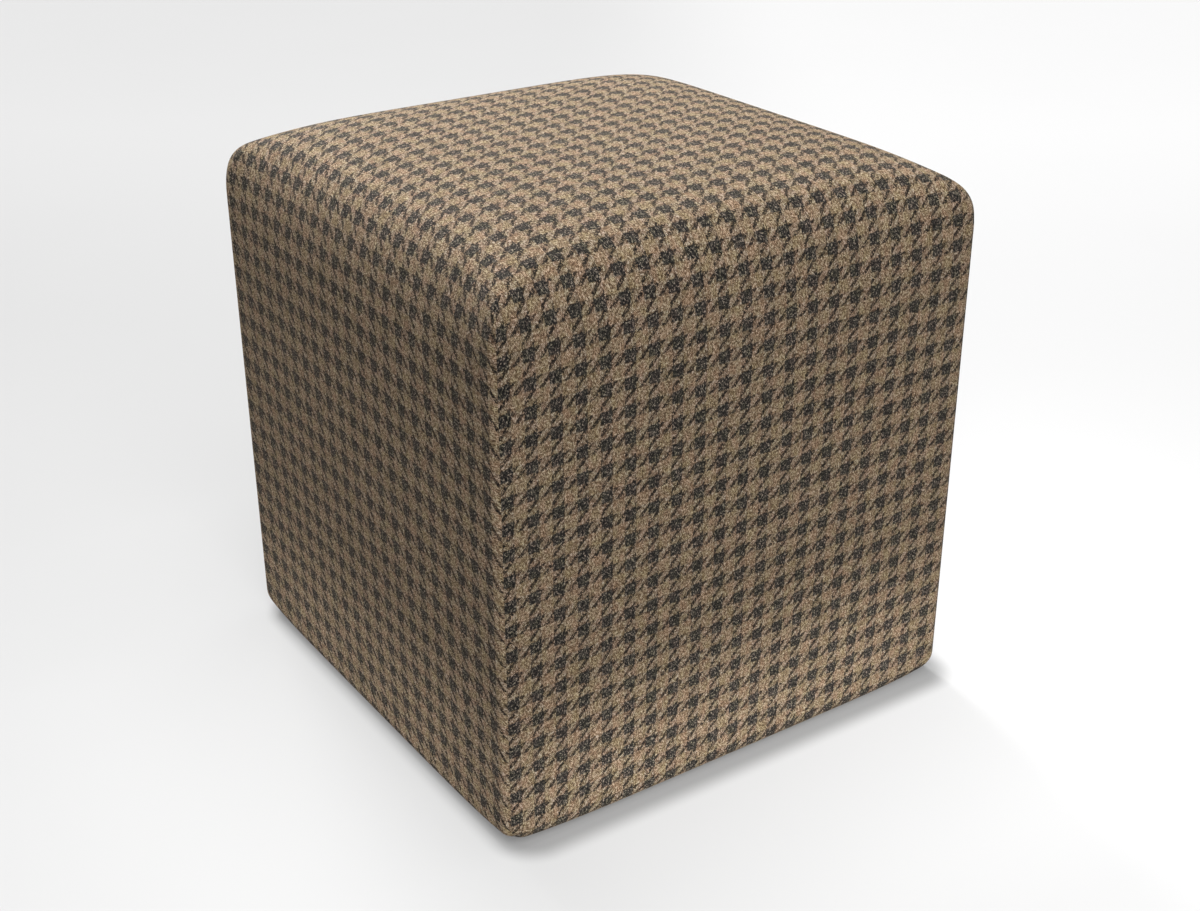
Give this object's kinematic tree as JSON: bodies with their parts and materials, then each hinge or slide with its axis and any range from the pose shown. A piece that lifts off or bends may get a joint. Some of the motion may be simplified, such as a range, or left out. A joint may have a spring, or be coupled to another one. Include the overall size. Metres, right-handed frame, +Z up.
{
  "type": "cube pouf stool",
  "caption": "Soft cube-shaped pouf stool: one filled body in houndstooth wool, with a crowned top, rounded rim, corner seams and a flat turned-under base.",
  "frame": {"origin": "centre of the flat base, on the floor", "axes": "+Z up through the crown of the top; X and Y are square to the sides, and the corner seam that faces the viewer is at -X, -Y"},
  "size_m": [0.4336, 0.4336, 0.4571],
  "materials": {
    "houndstooth_wool": "woven wool, tan and charcoal houndstooth, matt and slightly fuzzy"
  },
  "bodies": {
    "root": {"pouf_body": "houndstooth_wool"}
  },
  "joints": []
}
